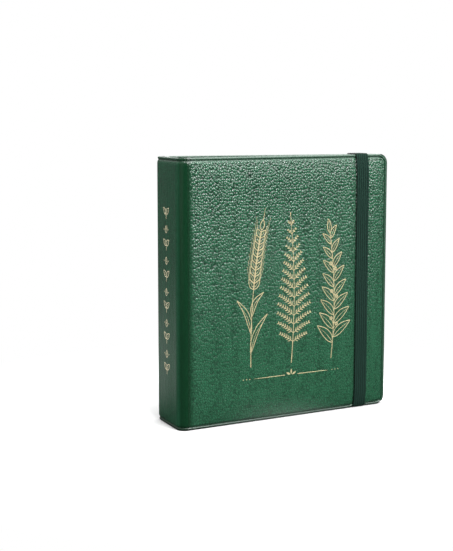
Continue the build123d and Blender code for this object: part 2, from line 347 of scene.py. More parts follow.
def addNode(tree, kind, inputs=None, **settings):
    made = tree.nodes.new(kind)
    for key, value in settings.items():
        setattr(made, key, value)
    for key, value in (inputs or {}).items():
        if isinstance(value, bpy.types.NodeSocket):
            tree.links.new(value, made.inputs[key])
        else:
            made.inputs[key].default_value = value
    return made


def mathOf(tree, operation, first, second=0.0, clamp=False):
    made = addNode(tree, "ShaderNodeMath", {0: first, 1: second}, operation=operation, use_clamp=clamp)
    return made.outputs[0]


def waveOf(tree, value, pitch, kind="SINE"):
    return mathOf(tree, kind, mathOf(tree, "MULTIPLY", value, 2 * math.pi / (pitch * mm)))


def noiseOf(tree, vector, scale, detail, output=0):
    inputs = {"Vector": vector, "Scale": scale, "Detail": detail}
    return addNode(tree, "ShaderNodeTexNoise", inputs).outputs[output]


def tint(color, share):
    return tuple(channel * share for channel in color) + (1,)


def blendColor(tree, factor, first, second):
    made = addNode(tree, "ShaderNodeMix", data_type="RGBA")
    for socket, value in ((made.inputs[0], factor), (made.inputs[6], first), (made.inputs[7], second)):
        if isinstance(value, bpy.types.NodeSocket):
            tree.links.new(value, socket)
        else:
            socket.default_value = value
    return made.outputs[2]


def rangeOf(tree, value, fromLow, fromHigh, toLow, toHigh, smooth=True):
    kind = "SMOOTHSTEP" if smooth else "LINEAR"
    inputs = {0: value, 1: fromLow, 2: fromHigh, 3: toLow, 4: toHigh}
    return addNode(tree, "ShaderNodeMapRange", inputs, interpolation_type=kind).outputs[0]


def bumpOf(tree, value, distance, strength=1.0, normal=None):
    inputs = {"Height": value, "Distance": distance * mm, "Strength": strength}
    if normal is not None:
        inputs["Normal"] = normal
    return addNode(tree, "ShaderNodeBump", inputs).outputs[0]


def objectPlace(tree, stretch=(1, 1, 1)):
    place = addNode(tree, "ShaderNodeTexCoord").outputs["Object"]
    return addNode(tree, "ShaderNodeMapping", {"Vector": place, "Scale": stretch}).outputs[0]


# crease is the share of colour left in the grain's hollows: painted shade
leatherLook = {
    "field": {"color": (0.0165, 0.096, 0.0462), "grain": 2.55, "depth": 1.45, "rough": 0.27, "wrinkle": 0.05,
              "crease": 0.24, "shine": 0.7},
    "spine": {"color": (0.012, 0.068, 0.033), "grain": 2.0, "depth": 0.24, "rough": 0.30, "wrinkle": 0.36,
              "crease": 0.7, "shine": 0.14},
    "lining": {"color": (0.021, 0.090, 0.046), "grain": 1.2, "depth": 0.10, "rough": 0.50, "wrinkle": 0.02,
               "crease": 0.7, "shine": 0.4},
}
grainLook = {
    "waver": 330.0, "push": 0.0005, "longer": (1, 1, 0.8), "randomness": 0.82, "edge": 0.2, "dome": 0.5,
    "fine": 2600.0, "wrinkles": 520.0, "wrinkleLength": (1, 1, 0.12), "broad": 28.0,
    "broadRange": (0.35, 0.65), "broadTint": 0.9, "cellRange": (0.2, 0.9), "cellShare": 0.2,
    "cellTint": 1.5, "fineRange": (0.3, 0.7), "rougher": 0.05, "smoother": 0.03, "edgeDepth": 0.12,
    "fineDepth": 0.014,
}
# painted shade and shadow: the hinge colour darkens the shoulder, and the foot and band entries with their
# tint darken the foot and a line beside the band
grainFade = {
    "hinge": 9.5, "spine": 3.6, "hem": 3.4, "hemFull": 6.0, "hemRough": 0.46, "hingeRough": 0.20,
    "hingeShadeColor": (0.003, 0.024, 0.009), "hemTint": 0.52, "lowFrom": 0.25, "lowGrain": 0.34,
    "foreGrain": 0.85, "lowCrease": 0.34, "footStart": 0.2, "footShadow": 4.8, "footShade": 0.85,
    "bandStart": 0.2, "bandShadowWidth": 2.3, "bandShade": 0.9, "paintedShadowTint": 0.08, "bareGrain": 0.12,
    "barePebble": 0.85,
}


def grainShares(tree):  # 0 on the shoulder, 0 on the hem, how strong the grain is, and where shadow is painted
    axes = addNode(tree, "ShaderNodeSeparateXYZ", {0: objectPlace(tree)}).outputs
    fade = grainFade
    hingeX, foreX = coverPoint(shoulderRun, 0, 0).x, coverPoint(length, 0, 0).x
    cover = rangeOf(tree, axes[0], hingeX, hingeX + fade["hinge"] * mm, 0.0, 1.0)
    spine = rangeOf(tree, axes[0], spineX * mm, (spineX + fade["spine"]) * mm, 1.0, 0.0)
    hinge = mathOf(tree, "MAXIMUM", cover, spine)
    fromTop = mathOf(tree, "SUBTRACT", height * mm, axes[2])
    fromFore = mathOf(tree, "SUBTRACT", foreX, axes[0])
    nearest = mathOf(tree, "MINIMUM", mathOf(tree, "MINIMUM", axes[2], fromTop), fromFore)
    hemmed = rangeOf(tree, nearest, fade["hem"] * mm, fade["hemFull"] * mm, 0.0, 1.0)
    lowFrom = fade["lowFrom"] * height * mm
    upright = rangeOf(tree, axes[2], lowFrom, height * mm, fade["lowGrain"], 1.0, smooth=False)
    toFore = rangeOf(tree, axes[0], 0.0, foreX, 1.0, fade["foreGrain"])
    level = mathOf(tree, "MULTIPLY", upright, toFore)  # less low down and towards the fore edge
    # painted contact shadow: darker along the foot, where the case stands on the floor
    footShadow = rangeOf(tree, axes[2], fade["footStart"] * mm, fade["footShadow"] * mm, fade["footShade"], 0.0)
    # painted shadow: a dark line on the front beside the band's edge, where its side and its shadow would
    # fall
    bandEdge = coverPoint(bandCentre - padding["bandPressHalf"], 0, padding["bandLevel"]).x
    fromBand = mathOf(tree, "ABSOLUTE", mathOf(tree, "SUBTRACT", axes[0], bandEdge))
    bandShadow = rangeOf(tree, fromBand, fade["bandStart"] * mm, fade["bandShadowWidth"] * mm, fade["bandShade"], 0.0)
    bandShadow = mathOf(tree, "MULTIPLY", bandShadow, rangeOf(tree, axes[1], -mm, mm, 1.0, 0.0))  # the front alone
    shaded = mathOf(tree, "MAXIMUM", footShadow, mathOf(tree, "MULTIPLY", bandShadow, hemmed))
    return hinge, hemmed, level, shaded


def leatherMaterial(name, look, fades=False):
    material, tree, shader = startMaterial(name)
    place = objectPlace(tree)
    waver = noiseOf(tree, place, grainLook["waver"], 1.0, "Color")
    push = {0: waver, "Scale": grainLook["push"]}
    pushed = addNode(tree, "ShaderNodeVectorMath", push, operation="SCALE").outputs[0]
    longer = objectPlace(tree, grainLook["longer"])
    moved = addNode(tree, "ShaderNodeVectorMath", {0: longer, 1: pushed}, operation="ADD").outputs[0]
    cells = {"Vector": moved, "Scale": 1000 / look["grain"], "Randomness": grainLook["randomness"]}
    cell = addNode(tree, "ShaderNodeTexVoronoi", cells, feature="F1")
    edge = addNode(tree, "ShaderNodeTexVoronoi", cells, feature="DISTANCE_TO_EDGE")
    dome = mathOf(tree, "MULTIPLY", cell.outputs["Distance"], cell.outputs["Distance"])
    dome = mathOf(tree, "SUBTRACT", grainLook["dome"], dome)
    pebble = rangeOf(tree, edge.outputs["Distance"], 0.0, grainLook["edge"], 0.0, 1.0)
    fine = noiseOf(tree, place, grainLook["fine"], 2.0)
    wrinkles = noiseOf(tree, objectPlace(tree, grainLook["wrinkleLength"]), grainLook["wrinkles"], 3.0)
    broad = noiseOf(tree, place, grainLook["broad"], 3.0)
    color = look["color"]
    patches = rangeOf(tree, broad, *grainLook["broadRange"], 0.0, 1.0)
    body = blendColor(tree, patches, tint(color, grainLook["broadTint"]), tint(color, 1.0))
    cellShare = grainLook["cellShare"]
    lit = rangeOf(tree, cell.outputs["Color"], *grainLook["cellRange"], 0.0, cellShare, smooth=False)
    tinted = blendColor(tree, lit, body, tint(color, grainLook["cellTint"]))
    strength = 1.0
    if fades:
        hinge, hemmed, level, shaded = grainShares(tree)
        full = mathOf(tree, "MULTIPLY", hinge, hemmed)
        strength = rangeOf(tree, full, 0.0, 1.0, grainFade["bareGrain"], level, smooth=False)
        bare = mathOf(tree, "MAXIMUM", pebble, grainFade["barePebble"])
        pebble = rangeOf(tree, full, 0.0, 1.0, bare, pebble, smooth=False)
        softer = mathOf(tree, "MAXIMUM", pebble, grainFade["lowCrease"])
        pebble = rangeOf(tree, level, grainFade["lowGrain"], 1.0, softer, pebble, smooth=False)
        tinted = blendColor(tree, hemmed, tint(color, grainFade["hemTint"]), tinted)
        # painted shade: the shoulder round the hinge takes a much darker colour than the spine and the cover
        tinted = blendColor(tree, hinge, tint(grainFade["hingeShadeColor"], 1.0), tinted)
    # painted shade: the grain's creases take a darker colour, as if shaded between the pebbles
    creased = blendColor(tree, pebble, tint(color, look["crease"]), tinted)
    if fades:
        # painted shadows laid over the colour: along the foot and beside the band
        creased = blendColor(tree, shaded, creased, tint(color, grainFade["paintedShadowTint"]))
    tree.links.new(creased, shader.inputs["Base Color"])
    rougher, smoother = look["rough"] + grainLook["rougher"], look["rough"] - grainLook["smoother"]
    rough = rangeOf(tree, fine, *grainLook["fineRange"], rougher, smoother)
    if fades:
        rough = rangeOf(tree, hemmed, 0.0, 1.0, grainFade["hemRough"], rough)
        rough = rangeOf(tree, hinge, 0.0, 1.0, grainFade["hingeRough"], rough)
    tree.links.new(rough, shader.inputs["Roughness"])
    shader.inputs["Specular IOR Level"].default_value = look["shine"]
    normal = bumpOf(tree, wrinkles, look["wrinkle"])
    normal = bumpOf(tree, dome, look["depth"], strength, normal)
    normal = bumpOf(tree, pebble, look["depth"] * grainLook["edgeDepth"], strength, normal)
    normal = bumpOf(tree, fine, grainLook["fineDepth"], 1.0, normal)
    tree.links.new(normal, shader.inputs["Normal"])
    return material


leatherField = leatherMaterial("pebbledLeather", leatherLook["field"], fades=True)
leatherSpine = leatherMaterial("spineLeather", leatherLook["spine"], fades=True)
leatherShoulder = leatherMaterial("shoulderLeather", leatherLook["spine"], fades=True)
leatherLining = leatherMaterial("liningLeather", leatherLook["lining"])
plainLook = {"detail": 4.0, "range": (0.3, 0.7), "darker": 0.82, "rougher": 0.06, "smoother": 0.04}


def plainMaterial(name, color, rough, grainSize, grainDepth, metal=0.0):
    material, tree, shader = startMaterial(name)
    grain = noiseOf(tree, objectPlace(tree), 1000 / grainSize, plainLook["detail"])
    patches = rangeOf(tree, grain, *plainLook["range"], 0.0, 1.0)
    body = blendColor(tree, patches, tint(color, plainLook["darker"]), tint(color, 1.0))
    tree.links.new(body, shader.inputs["Base Color"])
    rougher, smoother = rough + plainLook["rougher"], rough - plainLook["smoother"]
    tree.links.new(rangeOf(tree, grain, *plainLook["range"], rougher, smoother), shader.inputs["Roughness"])
    tree.links.new(bumpOf(tree, grain, grainDepth), shader.inputs["Normal"])
    shader.inputs["Metallic"].default_value = metal
    return material


threadMaterial = plainMaterial("sewingThread", (0.006, 0.030, 0.016), 0.6, 0.4, 0.05)
foamMaterial = plainMaterial("paddingFoam", (0.72, 0.71, 0.66), 0.9, 0.8, 0.1)
boardMaterial = plainMaterial("greyBoard", (0.36, 0.34, 0.31), 0.85, 0.7, 0.05)
metalMaterial = plainMaterial("platedSteel", (0.72, 0.73, 0.74), 0.2, 6.0, 0.004, metal=1.0)
goldMaterial = plainMaterial("goldFoil", (0.62, 0.52, 0.30), 0.36, 0.5, 0.02, metal=0.4)
spineGold = plainMaterial("paleGoldFoil", (0.86, 0.76, 0.50), 0.42, 0.5, 0.02, metal=0.15)
printMaterial = plainMaterial("packetPrint", (0.30, 0.20, 0.09), 0.7, 0.3, 0.005)


# the groove, rib and edge colours are painted shade and highlight
elasticLook = {
    "half": 9.0, "ribPitch": 3.0, "rowPitch": 0.9, "threadPitch": 0.55, "ribShare": 0.7, "weaveShare": 0.3,
    "grooveShade": (0.0012, 0.008, 0.005, 1), "ribHighlight": (0.009, 0.033, 0.023, 1),
    "edgeShadowColor": (0.0006, 0.0025, 0.0018, 1), "leftEdge": 1.5, "rightEdge": 1.0, "leftShade": 0.95,
    "rightShade": 0.4, "fuzz": 2200.0, "rough": 0.75, "shine": 0.12, "weaveDepth": 0.08, "fuzzDepth": 0.05,
}


def elasticMaterial():
    look = elasticLook
    material, tree, shader = startMaterial("wovenElastic")
    place = objectPlace(tree)
    axes = addNode(tree, "ShaderNodeSeparateXYZ", {0: place}).outputs
    rows = waveOf(tree, axes[2], look["rowPitch"])
    threads = waveOf(tree, axes[0], look["threadPitch"])
    weave = mathOf(tree, "MULTIPLY", rows, threads)
    fuzz = noiseOf(tree, place, look["fuzz"], 3.0)
    half = look["half"] * mm
    across = mathOf(tree, "SUBTRACT", axes[0], coverPoint(bandCentre, 0, padding["bandLevel"]).x)
    # painted shade and highlight: the grooves between the ribs darker and the ribs lighter, with a little of
    # the weave
    ribs = mathOf(tree, "MULTIPLY", waveOf(tree, across, look["ribPitch"], "COSINE"), -look["ribShare"])
    ribbed = mathOf(tree, "ADD", ribs, mathOf(tree, "MULTIPLY", weave, look["weaveShare"]))
    body = blendColor(tree, rangeOf(tree, ribbed, -1.0, 1.0, 0.0, 1.0), look["grooveShade"], look["ribHighlight"])
    # painted shade: both edges of the band darkened, the left much more, where its side and its shadow fall
    left = rangeOf(tree, across, -half, -half + look["leftEdge"] * mm, look["leftShade"], 0.0)
    right = rangeOf(tree, across, half - look["rightEdge"] * mm, half, 0.0, look["rightShade"])
    body = blendColor(tree, mathOf(tree, "MAXIMUM", left, right), body, look["edgeShadowColor"])
    tree.links.new(body, shader.inputs["Base Color"])
    shader.inputs["Roughness"].default_value = look["rough"]
    shader.inputs["Specular IOR Level"].default_value = look["shine"]
    normal = bumpOf(tree, weave, look["weaveDepth"])
    tree.links.new(bumpOf(tree, fuzz, look["fuzzDepth"], normal=normal), shader.inputs["Normal"])
    return material


kraftLook = {
    "fibres": 900.0, "fibreLength": (1, 1, 0.35), "specks": 420.0, "dark": (0.52, 0.40, 0.23, 1),
    "pale": (0.66, 0.53, 0.33, 1), "speck": (0.34, 0.24, 0.12, 1), "speckSize": (0.03, 0.10),
    "speckShare": 0.5, "rough": 0.8, "depth": 0.03,
}


def kraftMaterial():
    look = kraftLook
    material, tree, shader = startMaterial("kraftPaper")
    place = objectPlace(tree)
    fibres = noiseOf(tree, objectPlace(tree, look["fibreLength"]), look["fibres"], 5.0)
    spots = {"Vector": place, "Scale": look["specks"]}
    specks = addNode(tree, "ShaderNodeTexVoronoi", spots).outputs["Distance"]
    body = blendColor(tree, rangeOf(tree, fibres, 0.3, 0.7, 0.0, 1.0), look["dark"], look["pale"])
    dots = rangeOf(tree, specks, *look["speckSize"], look["speckShare"], 0.0)
    tree.links.new(blendColor(tree, dots, body, look["speck"]), shader.inputs["Base Color"])
    shader.inputs["Roughness"].default_value = look["rough"]
    tree.links.new(bumpOf(tree, fibres, look["depth"]), shader.inputs["Normal"])
    return material


filmLook = {
    "color": (0.86, 0.88, 0.88, 1), "waves": 45.0, "waveDepth": 0.3, "rough": (0.10, 0.22),
    "clear": 0.22, "welded": 0.6, "ribPitch": 0.9, "ribDepth": 0.08,
}


def filmMaterial(name, alpha, ribbed):
    material, tree, shader = startMaterial(name)
    waves = noiseOf(tree, objectPlace(tree), filmLook["waves"], 2.0)
    tree.links.new(rangeOf(tree, waves, 0.3, 0.7, *filmLook["rough"]), shader.inputs["Roughness"])
    shader.inputs["Base Color"].default_value = filmLook["color"]
    shader.inputs["Alpha"].default_value = alpha
    normal = bumpOf(tree, waves, filmLook["waveDepth"])
    if ribbed:
        axes = addNode(tree, "ShaderNodeSeparateXYZ", {0: objectPlace(tree)}).outputs
        ribs = waveOf(tree, mathOf(tree, "ADD", axes[0], axes[2]), filmLook["ribPitch"])
        normal = bumpOf(tree, ribs, filmLook["ribDepth"], 1.0, normal)
    tree.links.new(normal, shader.inputs["Normal"])
    return material


elasticBand = elasticMaterial()
kraftPaper = kraftMaterial()
clearFilm = filmMaterial("clearFilm", filmLook["clear"], False)
weldedFilm = filmMaterial("weldedFilm", filmLook["welded"], True)
slotMaterials = {
    "leather": leatherField, "foam": foamMaterial, "board": boardMaterial, "lining": leatherLining,
    "elastic": elasticBand, "film": clearFilm, "kraft": kraftPaper, "ring_metal": metalMaterial,
}
for part in frame["record"]["subparts"]:
    nodes[part["node"]].data.materials.clear()
    nodes[part["node"]].data.materials.append(slotMaterials[part["material_slot"]])
print("materials are on the packed pieces")

# Covers, spine and shoulders

for side, body in ((1, "front_cover"), (-1, "back_cover")):
    cover = gridPiece(
        body + "Leather", len(uPlaces) - 1, len(zPlaces) - 1, lambda i, j: coverShape(i, j, side)
    )
    if side < 0:
        flipFaces(cover)
    thicken(cover, padding["leather"])
    shadeSmooth(cover, 60)
    dress(cover, leatherField, "leather")
    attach(cover, body)
    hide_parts(body + "_leather")
print("covers are padded and hemmed")

spineLook = {"columns": 14, "crown": 0.5, "crownEnds": (4.0, 24.0), "shoulderColumns": 22, "foldStart": -1.5,
             "innerRise": -2.6}


def endPlace(row):  # height and rise of a row over the spine or a shoulder
    inset, rise = endShape(zPlaces[row])
    return height - inset if zPlaces[row] > height / 2 else inset, rise


def spineBulge(across, z):
    ends = smoothStep(*spineLook["crownEnds"], min(z, height - z))
    return spineLook["crown"] * (1 - (across / spineHalf) ** 2) ** 2 * ends


def spineShape(column, row):
    across = -spineHalf + 2 * spineHalf * column / spineLook["columns"]
    z, rise = endPlace(row)
    return spinePoint(across, z, rise + spineBulge(across, z))


spineLeather = gridPiece("spineLeather", spineLook["columns"], len(zPlaces) - 1, spineShape)
thicken(spineLeather, padding["leather"])
shadeSmooth(spineLeather, 60)
dress(spineLeather, leatherSpine, "leather")
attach(spineLeather, "spine")
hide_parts("spine_leather")


def shallow(rise, share):  # the shoulder has no board, so its turned-in edge is thinner midway round
    depth = min(r for p, i, r in hem["rings"])
    thinned = depth + (spineLook["innerRise"] - depth) * math.sin(math.pi * share)
    start = spineLook["foldStart"]
    if rise > start:
        return rise
    return start + (rise - start) * (thinned - start) / (depth - start)


def shoulderShape(column, row, side):
    z, rise = endPlace(row)
    share = column / spineLook["shoulderColumns"]
    return shoulderPoint(share, z, shallow(rise, share), side)


shoulderLining = {"rise": -2.1, "thickness": 0.5, "inset": 2.4, "rows": 40}


def shoulderLiningShape(column, row, side):
    share = column / spineLook["shoulderColumns"]
    z = shoulderLining["inset"] + (height - 2 * shoulderLining["inset"]) * row / shoulderLining["rows"]
    return shoulderPoint(share, z, shoulderLining["rise"], side)


def shoulderEnds(side):
    return shoulderPoint(0, 0, 0, side), shoulderPoint(1, 0, 0, side)


for side, body in ((1, "front_cover"), (-1, "back_cover")):
    label = body.split("_")[0] + "Shoulder"
    wrapped = gridPiece(
        label + "Leather", spineLook["shoulderColumns"], len(zPlaces) - 1,
        lambda i, j: shoulderShape(i, j, side),
    )
    inside = gridPiece(
        label + "Lining", spineLook["shoulderColumns"], shoulderLining["rows"],
        lambda i, j: shoulderLiningShape(i, j, side),
    )
    for piece, wallThickness, material, slot in (
        (wrapped, padding["leather"], leatherShoulder, "leather"),
        (inside, shoulderLining["thickness"], leatherLining, "lining"),
    ):
        if side < 0:
            flipFaces(piece)
        thicken(piece, wallThickness)
        shadeSmooth(piece, 60)
        dress(piece, material, slot)
        startPoint, endPoint = shoulderEnds(side)
        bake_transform(piece)
        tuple(startPoint)
        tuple(endPoint)
    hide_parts(body.split("_")[0] + "_shoulder_leather")
    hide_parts(body.split("_")[0] + "_shoulder_lining")
print("spine and shoulders are wrapped")

# Stitching along the hem, outside and inside
stitching = {"pitch": 3.6, "length": 2.6, "girth": 0.66, "slant": 6.0, "outerRise": -1.28, "innerRise": -5.02,
             "shoulderCount": 4}

deselectAll()
bpy.ops.mesh.primitive_uv_sphere_add(segments=8, ring_count=6, radius=0.5 * mm, rotation=(0, math.pi / 2, 0))
stitch = bpy.context.active_object
bpy.ops.object.transform_apply(location=True, rotation=True, scale=True)
stitch.scale = (stitching["length"], stitching["girth"], stitching["girth"])
bpy.ops.object.transform_apply(location=True, rotation=True, scale=True)


def hemPath():  # the line of holes, from the hinge along the top, down the fore edge and back
    inset = hem["stitchInset"]
    radius = corner - inset
    straight = length - corner - shoulderRun
    arc = radius * math.pi / 2
    rise = height - 2 * corner
    total = 2 * straight + 2 * arc + rise
    count = round(total / stitching["pitch"])
    for k in range(count):
        walked = total * (k + 0.5) / count
        if walked < straight:
            yield shoulderRun + walked, height - inset, 0.0
            continue
        walked -= straight
        if walked < arc:
            turn = walked / radius
            bentX, bentZ = radius * math.sin(turn), radius * math.cos(turn)
            yield length - corner + bentX, height - corner + bentZ, -turn
            continue
        walked -= arc
        if walked < rise:
            yield length - inset, height - corner - walked, -math.pi / 2
            continue
        walked -= rise
        if walked < arc:
            turn = walked / radius
            bentX, bentZ = radius * math.cos(turn), radius * math.sin(turn)
            yield length - corner + bentX, corner - bentZ, -math.pi / 2 - turn
            continue
        walked -= arc
        yield length - corner - walked, inset, -math.pi


def stitchPlace(point, along, out):
    along = along.normalized()
    out = out.normalized()
    across = out.cross(along)
    facing = Matrix((along, across, out)).transposed().to_4x4()
    slant = Matrix.Rotation(math.radians(stitching["slant"]), 4, "Z")
    return Matrix.Translation(point) @ facing @ slant


def coverFrame(side):
    along = Vector((math.cos(tilt), side * math.sin(tilt), 0))
    out = Vector((math.sin(tilt), -side * math.cos(tilt), 0))
    return along, out


for side, body in ((1, "front_cover"), (-1, "back_cover")):
    along, out = coverFrame(side)
    places = []
    for u, z, turn in hemPath():
        heading = along * math.cos(turn) + Vector((0, 0, math.sin(turn)))
        lifted = z + bandRelief(u, z)
        places.append(stitchPlace(coverPoint(u, lifted, stitching["outerRise"], side), heading, out))
        places.append(stitchPlace(coverPoint(u, z, stitching["innerRise"], side), heading, -out))
    sewn = copyMany(stitch, places, body + "Stitches")
    dress(sewn, threadMaterial, "leather")
    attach(sewn, body)
    label = body.split("_")[0]
    places = []
    for z in (hem["stitchInset"], height - hem["stitchInset"]):
        for k in range(stitching["shoulderCount"]):
            share = (k + 0.5) / stitching["shoulderCount"]
            angle = math.pi + shoulderTurn * share
            heading = Vector((-math.sin(angle), side * math.cos(angle), 0))
            facing = Vector((math.cos(angle), side * math.sin(angle), 0))
            point = shoulderPoint(share, z, stitching["outerRise"], side)
            places.append(stitchPlace(point, heading, facing))
    sewn = copyMany(stitch, places, label + "ShoulderStitches")
    dress(sewn, threadMaterial, "leather")
    startPoint, endPoint = shoulderEnds(side)
    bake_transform(sewn)
    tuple(startPoint)
    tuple(endPoint)
places = []
spineCount = round(2 * spineHalf / stitching["pitch"])
for z in (hem["stitchInset"], height - hem["stitchInset"]):
    for k in range(spineCount):
        across = spineHalf * (2 * (k + 0.5) / spineCount - 1)
        for rise, way in ((stitching["outerRise"], -1), (stitching["innerRise"], 1)):
            places.append(stitchPlace(spinePoint(across, z, rise), Vector((0, way, 0)), Vector((way, 0, 0))))
sewn = copyMany(stitch, places, "spineStitches")
dress(sewn, threadMaterial, "leather")
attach(sewn, "spine")
removePiece(stitch)
print("hems are stitched")

# Gold foil: three upright sprigs on the front and a column of seedlings on the spine
foil = {"line": 0.46, "thin": 0.34, "proud": 0.07, "sunk": -0.05, "flatten": 0.4, "fuller": 1.15,
        "veinTaper": 0.6, "stemWeight": 1.15, "stemTaper": 0.45}
petalOutline = ((0, 0), (0.08, 0.5), (0.3, 1.0), (0.62, 0.9), (0.9, 0.3), (1.0, 0))
seedOutline = ((0, 0.15), (0.25, 0.8), (0.5, 1.0), (0.75, 0.75), (1.0, 0.12))


def drawStrokes(name, strokes, place):  # strokes are lists of across, up and half width
    curve = bpy.data.curves.new(name, "CURVE")
    curve.dimensions = "3D"
    curve.bevel_depth = 1.0
    curve.bevel_resolution = 1
    curve.resolution_u = 5
    curve.use_fill_caps = True
    for stroke in strokes:
        spline = curve.splines.new("NURBS")
        spline.points.add(len(stroke) - 1)
        for point, (x, y, half) in zip(spline.points, stroke):
            point.co = (x, y, 0, 1)
            point.radius = half
        spline.order_u = 3
        spline.use_endpoint_u = True
    drawn = linked(name, curve)
    activate(drawn)
    bpy.ops.object.convert(target="MESH")
    drawn = bpy.context.active_object
    for vertex in drawn.data.vertices:
        x, y, up = vertex.co
        vertex.co = place(x, y, max(foil["sunk"], min(foil["proud"], up * foil["flatten"])))
    shadeSmooth(drawn, 50)
    return drawn


def turned(x, y, angle):
    return x * math.cos(angle) - y * math.sin(angle), x * math.sin(angle) + y * math.cos(angle)


def petal(x, y, angle, size, width, half, bow=0.0):  # a closed leaf outline that grows along angle
    strokes = []
    for sign in (1, -1):
        points = []
        for share, fat in petalOutline:
            aside = sign * width / 2 * fat * foil["fuller"] + bow * math.sin(math.pi * share)
            dx, dy = turned(size * share, aside, angle)
            points.append((x + dx, y + dy, half))
        strokes.append(points)
    return strokes


def vein(x, y, angle, size, half, bow=0.0):
    points = []
    for share in (0, 0.35, 0.7, 1.0):
        dx, dy = turned(size * share, bow * math.sin(math.pi * share), angle)
        points.append((x + dx, y + dy, half * (1.0 - foil["veinTaper"] * share)))
    return points


def seedShape(x, y, angle, size, width):  # a filled grain
    points = []
    for share, fat in seedOutline:
        dx, dy = turned(size * share, 0, angle)
        points.append((x + dx, y + dy, width / 2 * fat))
    return points


def ringStroke(x, y, radius, half):
    angles = [math.pi * k / 4 for k in range(9)]
    return [(x + radius * math.cos(angle), y + radius * math.sin(angle), half) for angle in angles]


def stemPoint(stem, share):
    (x0, y0), (x1, y1), (x2, y2) = stem
    a, b, c = (1 - share) ** 2, 2 * share * (1 - share), share ** 2
    dx = 2 * (1 - share) * (x1 - x0) + 2 * share * (x2 - x1)
    dy = 2 * (1 - share) * (y1 - y0) + 2 * share * (y2 - y1)
    return a * x0 + b * x1 + c * x2, a * y0 + b * y1 + c * y2, math.atan2(dy, dx)


def stemStroke(stem):
    points = []
    for k in range(9):
        share = k / 8
        x, y = stemPoint(stem, share)[:2]
        points.append((x, y, foil["line"] * foil["stemWeight"] * (1.0 - foil["stemTaper"] * share)))
    return points


wheat = {
    "stem": ((92, 66), (90, 150), (106, 226)), "grains": 9, "start": 0.56, "step": 0.048, "lean": 33,
    "grain": 13.5, "taper": 0.35, "width": 5.4, "veinStart": 3, "vein": 0.55, "awn": 15.0, "awnLean": 15,
    "tip": 12.0, "tipWidth": 5.0, "tipAwn": 14.0, "leaves": ((0.10, 1, 50), (0.24, -1, 44), (0.36, 1, 32)),
    "leafLean": 27, "leafWidth": 5.5, "leafBow": 5.0, "leafVein": 0.86, "veinBow": 4.6,
}


def wheatEar():
    line, thin = foil["line"], foil["thin"]
    strokes = [stemStroke(wheat["stem"])]
    for k in range(wheat["grains"]):
        x, y, angle = stemPoint(wheat["stem"], wheat["start"] + wheat["step"] * k)
        size = wheat["grain"] - wheat["taper"] * k
        for sign in (1, -1):
            lean = angle + sign * math.radians(wheat["lean"])
            dx, dy = math.cos(lean), math.sin(lean)
            strokes += petal(x, y, lean, size, wheat["width"], line)
            veinX, veinY = x + wheat["veinStart"] * dx, y + wheat["veinStart"] * dy
            strokes.append(vein(veinX, veinY, lean, size * wheat["vein"], thin))
            awnLean = angle + sign * math.radians(wheat["awnLean"])
            strokes.append(vein(x + size * dx, y + size * dy, awnLean, wheat["awn"], thin))
    x, y, angle = stemPoint(wheat["stem"], 1.0)
    strokes += petal(x, y, angle, wheat["tip"], wheat["tipWidth"], line)
    tipX, tipY = x + wheat["tip"] * math.cos(angle), y + wheat["tip"] * math.sin(angle)
    strokes.append(vein(tipX, tipY, angle, wheat["tipAwn"], thin))
    for share, sign, size in wheat["leaves"]:
        x, y, angle = stemPoint(wheat["stem"], share)
        lean = angle - sign * math.radians(wheat["leafLean"])
        strokes += petal(x, y, lean, size, wheat["leafWidth"], line, bow=sign * wheat["leafBow"])
        strokes.append(vein(x, y, lean, size * wheat["leafVein"], thin, bow=sign * wheat["veinBow"]))
    return strokes


fern = {
    "stem": ((148, 66), (156, 150), (146, 240)), "pairs": 14, "start": 0.15, "step": 0.061, "longest": 34.0,
    "shortest": 3.0, "rootFade": (-0.12, 0.34), "lean": 66, "leanDrop": 26, "bow": 0.05, "weight": 1.2,
    "leafletPitch": 3.5, "leaflet": 5.4, "leafletTaper": 0.55, "leafletFade": (3, 24), "leafletLean": 46,
    "leafletWidth": 1.25, "tip": 5.0, "tipWidth": 1.5,
}


def fernFrond():
    strokes = [stemStroke(fern["stem"])]
    for k in range(fern["pairs"]):
        share = fern["start"] + fern["step"] * k
        x, y, angle = stemPoint(fern["stem"], share)
        size = fern["longest"] * (1 - share) ** 0.8 * smoothStep(*fern["rootFade"], share) + fern["shortest"]
        for sign in (1, -1):
            lean = angle + sign * math.radians(fern["lean"] - fern["leanDrop"] * share)
            bow = -sign * size * fern["bow"]
            strokes.append(vein(x, y, lean, size, foil["thin"] * fern["weight"], bow=bow))
            leaflets = max(2, int(size / fern["leafletPitch"]))
            for m in range(1, leaflets + 1):
                along = m / (leaflets + 0.5)
                dx, dy = turned(size * along, bow * math.sin(math.pi * along), lean)
                grown = 0.5 + 0.5 * smoothStep(*fern["leafletFade"], size)
                leaf = fern["leaflet"] * (1 - fern["leafletTaper"] * along) * grown
                for way in (1, -1):
                    leafLean = lean + way * math.radians(fern["leafletLean"])
                    strokes.append(seedShape(x + dx, y + dy, leafLean, leaf, fern["leafletWidth"]))
    x, y, angle = stemPoint(fern["stem"], 1.0)
    strokes.append(seedShape(x, y, angle, fern["tip"], fern["tipWidth"]))
    return strokes


twig = {
    "stem": ((205, 66), (214, 140), (202, 218)), "pairs": 8, "start": 0.13, "step": 0.112, "shift": 0.4,
    "leaf": 31.0, "taper": 1.9, "width": 0.29, "lean": 50, "leanStep": 2.0, "bow": 0.06, "vein": 0.85,
    "veinBow": 0.9, "berry": 2.1, "berryLean": 34, "stalk": 7.5, "stalkTaper": 0.4, "berryWeight": 1.1,
    "tip": 17.0, "tipWidth": 5.0, "tipVein": 14.0,
}


